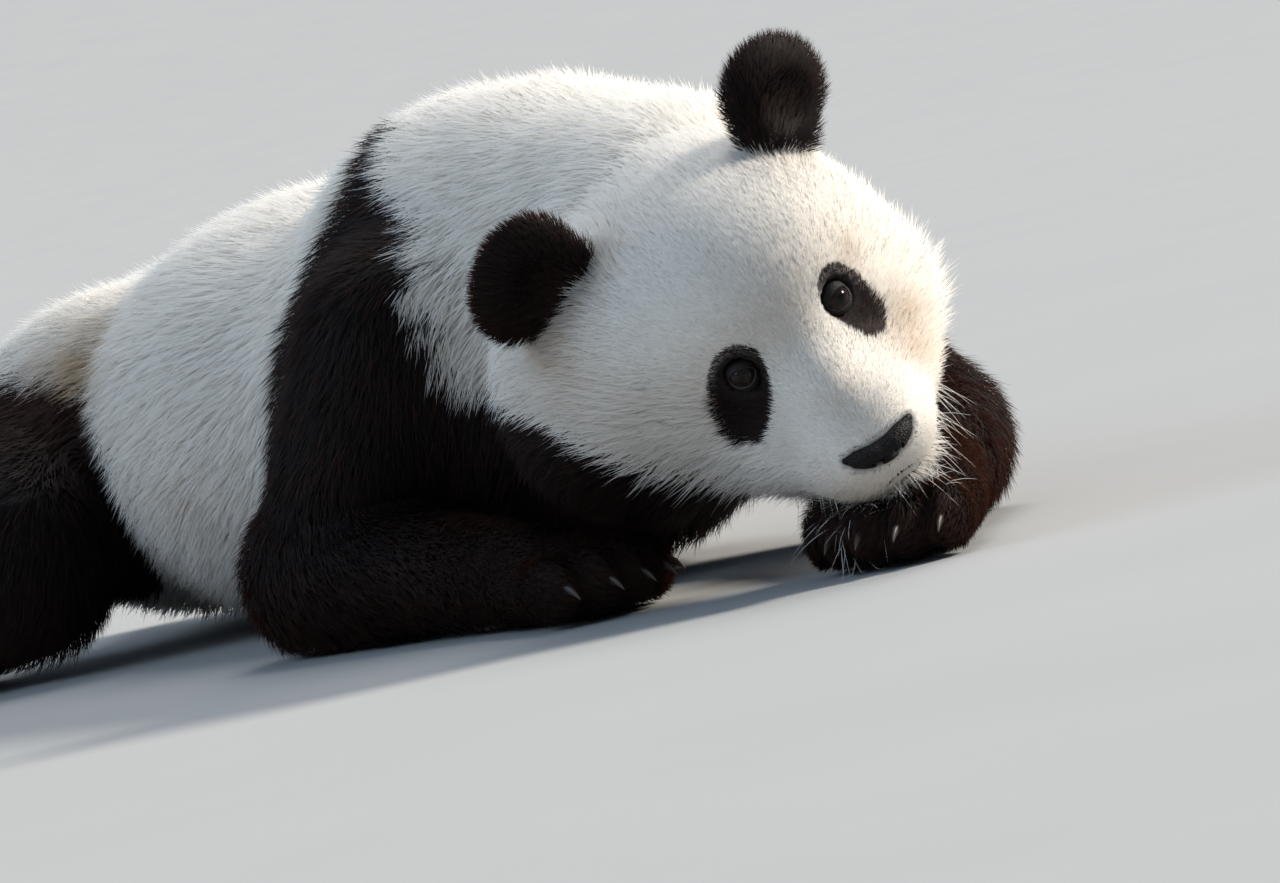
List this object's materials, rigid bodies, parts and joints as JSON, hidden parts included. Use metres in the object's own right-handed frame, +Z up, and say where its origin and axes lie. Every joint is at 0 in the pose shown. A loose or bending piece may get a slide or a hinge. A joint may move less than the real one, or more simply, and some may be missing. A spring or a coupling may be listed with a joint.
{
  "type": "giant panda",
  "caption": "Life-size still model of an adult giant panda lying on its belly, chin resting on one forepaw, in black and white fur.",
  "frame": {"origin": "on the floor, on the flat under the chest", "axes": "+X from rump to nose, +Y to the animal's left, +Z up"},
  "size_m": [1.5607, 0.9688, 0.4542],
  "materials": {
    "white_fur": "dense cream-white fur, matte with a soft sheen",
    "black_fur": "dense black-brown fur, soft sheen",
    "nose_leather": "moist pebbled nose skin, satin",
    "eye": "wet glossy dark brown",
    "claw": "smooth horn, satin"
  },
  "bodies": {
    "root": {"head": "white_fur", "muzzle": "white_fur", "lower_jaw": "white_fur", "neck": "white_fur", "abdomen": "white_fur", "rump": "white_fur", "tail": "white_fur", "ear_left": "black_fur", "ear_right": "black_fur", "chest": "black_fur", "upper_arm_left": "black_fur", "upper_arm_right": "black_fur", "forearm_left": "black_fur", "forearm_right": "black_fur", "forepaw_left": "black_fur", "forepaw_right": "black_fur", "thigh_left": "black_fur", "thigh_right": "black_fur", "shank_left": "black_fur", "shank_right": "black_fur", "hind_foot_left": "black_fur", "hind_foot_right": "black_fur", "nose": "nose_leather", "eye_left": "eye", "eye_right": "eye", "fore_claw_left_1": "claw", "fore_claw_left_2": "claw", "fore_claw_left_3": "claw", "fore_claw_left_4": "claw", "fore_claw_left_5": "claw", "fore_claw_right_1": "claw", "fore_claw_right_2": "claw", "fore_claw_right_3": "claw", "fore_claw_right_4": "claw", "fore_claw_right_5": "claw", "hind_claw_left_1": "claw", "hind_claw_left_2": "claw", "hind_claw_left_3": "claw", "hind_claw_left_4": "claw", "hind_claw_left_5": "claw", "hind_claw_right_1": "claw", "hind_claw_right_2": "claw", "hind_claw_right_3": "claw", "hind_claw_right_4": "claw", "hind_claw_right_5": "claw"}
  },
  "joints": []
}
